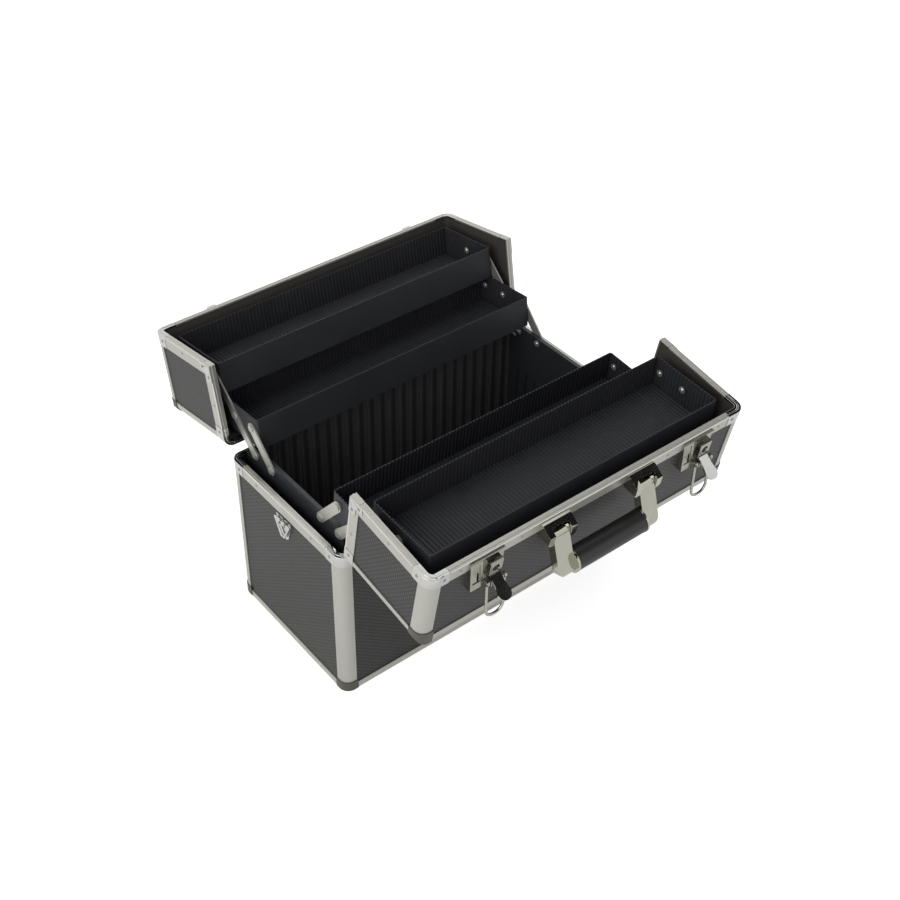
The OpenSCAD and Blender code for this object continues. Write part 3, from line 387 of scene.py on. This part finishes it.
def rounded_loop(length, depth, radius, step):
    """Points and outward normals round a rectangle with rounded corners: at each corner a quarter circle
    of seven points, then a straight line to the next corner with a point every step."""
    corners = np.array([(1, 1), (-1, 1), (-1, -1), (1, -1)])
    corners = corners * (length / 2 - radius, depth / 2 - radius)
    points, normals = [], []
    for k, centre in enumerate(corners):
        a = np.radians(90 * k + np.linspace(0, 90, 7))
        out = np.column_stack([np.cos(a), np.sin(a)])
        start, end = centre + radius * out[-1], corners[(k + 1) % 4] + radius * out[-1]
        count = max(2, int(round(np.linalg.norm(end - start) / step)))
        t = (np.arange(1, count) / count)[:, None]
        points += [centre + radius * out, start + t * (end - start)]
        normals += [out, np.repeat(out[-1:], count - 1, 0)]
    return np.concatenate(points), np.concatenate(normals)


tray_length, tray_depth, tray_height, tray_corner = 410, 96, 41, 3
tray_wall, tray_floor, rim_round, rim_step = 2, 2, 0.35, 0.3
rib_pitch, rib_deep, samples = 5.0, 1.2, 10
tray_moulding = worked("moulded_polystyrene_tray", "#303135", "#36373b", 0.0, 0.5, 30 * MM,
                       Specular_IOR_Level=0.22)


def ribs(distance):
    """Rib height at a distance along the wall: four times a raised cosine of the pitch, less 2.4, held
    between 0 and 1 and times rib_deep, which gives flat ribs and grooves with steep flanks."""
    wave = 0.5 + 0.5 * np.cos(2 * np.pi * distance / rib_pitch)
    return rib_deep * np.clip(4 * wave - 2.4, 0, 1)


def tray(name, body, origin, tilt, to_front):
    """A tray: the wall's section of six points goes round the tray's outline, its inner points pushed in
    by the ribs at that place, and the floor is a grid whose height follows the same ribs. origin is the
    y and z of the rim's edge nearest the case's middle, and from there the tray falls outwards by tilt
    degrees: y grows by u cos(tilt) less drop times sin(tilt), z falls by u sin(tilt) plus drop times
    cos(tilt), u across the tray and drop below its rim."""
    loop, out = rounded_loop(tray_length, tray_depth, tray_corner, rib_pitch / samples)
    on_long_wall = np.abs(loop[:, 1]) > np.abs(loop[:, 0]) - (tray_length - tray_depth) / 2
    thin = tray_wall - rib_deep
    inner = thin + ribs(np.where(on_long_wall, loop[:, 0], loop[:, 1]))
    section = ((0, tray_height), (0, rim_round), (rim_round, 0),
               (inner, 0), (inner, rim_step), (inner, tray_height - tray_floor))
    walls = [np.column_stack([loop - out * (inset + np.zeros(len(loop)))[:, None],
                              np.full(len(loop), -float(drop))]) for inset, drop in section]
    faces = grid_faces(len(section), len(loop), around=True)[:, ::-1].tolist()
    faces.append(list(range(len(loop))))
    deck_x = np.arange(-tray_length / 2 + thin, tray_length / 2 - thin + 0.01, rib_pitch / samples)
    deck_y = np.linspace(-tray_depth / 2 + thin, tray_depth / 2 - thin, 3)
    gx, gy = np.meshgrid(deck_x, deck_y, indexing="ij")
    deck = np.column_stack([gx.ravel(), gy.ravel(), tray_floor - tray_height + ribs(gx.ravel())])
    faces += (grid_faces(len(deck_x), 3)[:, ::-1] + len(section) * len(loop)).tolist()
    points = np.concatenate([*walls, deck])
    a = math.radians(tilt)
    u, drop = points[:, 1] + tray_depth / 2, -points[:, 2]
    y = origin[0] + u * math.cos(a) - drop * math.sin(a)
    z = origin[1] - u * math.sin(a) - drop * math.cos(a)
    if to_front:
        y, faces = -y, [f[::-1] for f in faces]
    placed = np.column_stack([points[:, 0], y, z])
    made = piece(name, placed, faces, tray_moulding, body)
    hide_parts(body)


# The trays' places in the open pose follow from their links. A link rises from its pivot at the angle
# swing, and holds the lower tray halfway and the upper tray at its end. The pin stands at its own drop
# below the tray's rim, and as far from the tray's edge as it is in the shut case from the middle line,
# less a gap.
link_length, pivot_y, pivot_z = 52.5, 84.3, 227.7
closed_angle, middle_gap, upper_gap = math.radians(129.8), 3, 3.6
lower_drop, upper_drop = 14.9, 18.3
lower_pin = pivot_y + link_length * math.cos(closed_angle) - middle_gap
upper_pin = pivot_y + 2 * link_length * math.cos(closed_angle) - middle_gap - upper_gap
for side, (swing, low_tilt, high_tilt) in (("rear", (42.5, 5.5, 8.5)), ("front", (45.6, 5.3, 3.4))):
    for storey, tilt, pin, drop, count in (("lower", low_tilt, lower_pin, lower_drop, 1),
                                           ("upper", high_tilt, upper_pin, upper_drop, 2)):
        a, t = math.radians(swing), math.radians(tilt)
        at = (pivot_y + count * link_length * math.cos(a) - pin * math.cos(t) + drop * math.sin(t),
              pivot_z + count * link_length * math.sin(a) + pin * math.sin(t) + drop * math.cos(t))
        tray(f"{side}_{storey}_tray_moulding", f"{side}_{storey}_tray", at, tilt, side == "front")


# Corner rivets: snap-head steel rivets, duller than the chrome, hold each corner piece's two tabs and the
# square brackets at the lids' parting corners to the rails.
def domes(name, centres, outs, radius, height, made, body):
    """Dome heads: each is rings of a quarter ellipse, radius cos(t) across and height sin(t) along its
    outward axis, t from 0 to 90 degrees, with a pole point on top and a flat face below."""
    t = np.radians([0, 22, 45, 66])
    u = np.radians(np.arange(0, 360, 30))
    points, faces = [], []
    for centre, out in zip(np.asarray(centres, float), np.asarray(outs, float)):
        out = out / np.linalg.norm(out)
        side = np.cross(out, [0, 0, 1]) if abs(out[2]) < 0.9 else np.cross(out, [1, 0, 0])
        side = side / np.linalg.norm(side)
        other = np.cross(out, side)
        ring = np.cos(u)[:, None] * side + np.sin(u)[:, None] * other
        start = sum(len(p) for p in points)
        rings = [centre + radius * math.cos(a) * ring + height * math.sin(a) * out for a in t]
        points.append(np.concatenate(rings + [[centre + height * out]]))
        faces += (grid_faces(len(t), len(u), around=True) + start).tolist()
        top = start + (len(t) - 1) * len(u)
        faces += [(top + k, top + (k + 1) % len(u), start + len(t) * len(u)) for k in range(len(u))]
        faces.append([start + k for k in reversed(range(len(u)))])
    piece(name, np.concatenate(points), faces, made, body)


half_l, half_d = 225, 111
mouth, seam, lid_rise = 218, 1.5, 133
hinge_out, lid_opening = 6, math.radians(-100)
low, high, parting = mouth + seam, mouth + seam + lid_rise, seam / 2
hinge = np.array([0, half_d + hinge_out, mouth + seam / 2])
swung = np.array([[1, 0, 0],
                  [0, math.cos(lid_opening), -math.sin(lid_opening)],
                  [0, math.sin(lid_opening), math.cos(lid_opening)]])


def opened(points, flip, about=hinge):
    """Points of the closed rear lid as they stand when it is open: turned about the hinge line by
    lid_opening. A flip of -1 mirrors them across the case, for the front lid."""
    return ((np.asarray(points) - about) @ swung.T + about) * np.array([1, flip, 1])


# A tab's rivet stands leg from the case's corner and flange from the mouth, on a tab that is proud of the
# boards; a bracket's two rivets stand near and far from the parting corner.
snap_radius, snap_height = 2.2, 0.9
leg, flange, proud = 19.25, 7.75, 0.5
bracket_near, bracket_far, bracket_proud = 5.5, 16.5, 1
spots, outs = [], []
for sx in (-1, 1):
    for sy in (-1, 1):
        spots += [(sx * (half_l - leg), sy * (half_d + proud), mouth - flange),
                  (sx * (half_l + proud), sy * (half_d - leg), mouth - flange)]
        outs += [(0, sy, 0), (sx, 0, 0)]
domes("rim_corner_tab_rivets", spots, outs, snap_radius, snap_height, rivets, "base")
spots, outs = [], []
for sx in (-1, 1):
    spots += [(sx * (half_l - leg), half_d + proud, low + flange),
              (sx * (half_l + proud), half_d - leg, low + flange),
              (sx * (half_l - leg), parting + flange, high + proud),
              (sx * (half_l + proud), parting + flange, high - leg),
              (sx * (half_l + bracket_proud), parting + bracket_far, low + bracket_near),
              (sx * (half_l + bracket_proud), parting + bracket_near, low + bracket_far)]
    outs += [(0, 1, 0), (sx, 0, 0), (0, 0, 1), (sx, 0, 0), (sx, 0, 0), (sx, 0, 0)]
for lid, flip in (("rear", 1), ("front", -1)):
    domes(f"{lid}_lid_tab_rivets", opened(spots, flip), opened(outs, flip, about=0),
          snap_radius, snap_height, rivets, f"{lid}_lid")

# Link rivets: each link's steel pin is headed over inside the tray or the carrier as a small bright
# dome. The places are those of the pins in the open pose, at both ends of the case.
head_radius, head_height = 2.8, 1.5
in_tray, in_base = 201.7, 198.7
link_pins = {
    "rear_long_link": ((in_tray, 123.0, 263.2), (in_base, 84.3, 227.7), (in_tray, 161.7, 298.6)),
    "rear_short_link": ((in_base, 49.7, 227.7), (in_tray, 86.7, 266.7)),
    "rear_upper_link": ((in_tray, 158.3, 259.8), (in_tray, 197.8, 293.2)),
    "front_long_link": ((in_tray, -121.0, 265.2), (in_base, -84.3, 227.7), (in_tray, -157.8, 302.7)),
    "front_short_link": ((in_base, -49.8, 227.7), (in_tray, -84.7, 268.6)),
    "front_upper_link": ((in_tray, -158.1, 261.8), (in_tray, -194.2, 300.6))}
pin_steel = worked("headed_rivet_steel", "#cfcec9", "#dddcd8", 0.75, 0.25, 1.5 * MM)
for body, pins in link_pins.items():
    domes(f"{body}_rivet_heads", [(s * x, y, z) for s in (-1, 1) for x, y, z in pins],
          [(-s, 0, 0) for s in (-1, 1) for pin in pins], head_radius, head_height, pin_steel, body)

# Rim beads: the closing profile is extruded with a small round bead along its outer edge, polished
# bright, which the light catches as one line on every rail. It ends at the corner pieces and brackets.
bead_radius, bead_in, rail_end, bracket_end = 1.3, 0.6, 26.4, 22
off_every_rail = (0.3, 0.5, 0.81)
bright = worked("polished_aluminium_bead", "#cfcfc9", "#dcdcd6", 0.9, 0.22, 3 * MM)


def beads(name, rails, body):
    """Round rods with closed ends, one for each rail's start and end: the circle bead_radius times cos(u)
    along one line square to the rail plus sin(u) along the other, in twelve points at either end."""
    u = np.radians(np.arange(0, 360, 30))
    points, faces = [], []
    for k, (start, end) in enumerate(np.asarray(rails, float)):
        along = (end - start) / np.linalg.norm(end - start)
        side = np.cross(along, off_every_rail)
        side = side / np.linalg.norm(side)
        other = np.cross(along, side)
        ring = bead_radius * (np.cos(u)[:, None] * side + np.sin(u)[:, None] * other)
        points.append(np.concatenate([start + ring, end + ring]))
        first = np.arange(len(u)) + 2 * len(u) * k
        faces += (grid_faces(2, len(u), around=True) + first[0]).tolist()
        faces += [first[::-1].tolist(), (first + len(u)).tolist()]
    piece(name, np.concatenate(points), faces, bright, body)


side_x, side_y = half_l - bead_in, half_d - bead_in
reach_x, reach_y = half_l - rail_end, half_d - rail_end
below, above, beside = mouth - bead_radius, low + bead_radius, parting + bead_radius
rails = [((-reach_x, s * side_y, below), (reach_x, s * side_y, below)) for s in (-1, 1)]
rails += [((s * side_x, -reach_y, below), (s * side_x, reach_y, below)) for s in (-1, 1)]
beads("rim_bead", rails, "base")
rails = [((-reach_x, side_y, above), (reach_x, side_y, above)),
         ((-reach_x, beside, high - bead_in), (reach_x, beside, high - bead_in))]
for s in (-1, 1):
    rails += [((s * side_x, parting + bracket_end, above), (s * side_x, reach_y, above)),
              ((s * side_x, beside, low + bracket_end), (s * side_x, beside, high - rail_end))]
for lid, flip in (("rear", 1), ("front", -1)):
    beads(f"{lid}_lid_rim_bead", opened(rails, flip), f"{lid}_lid")
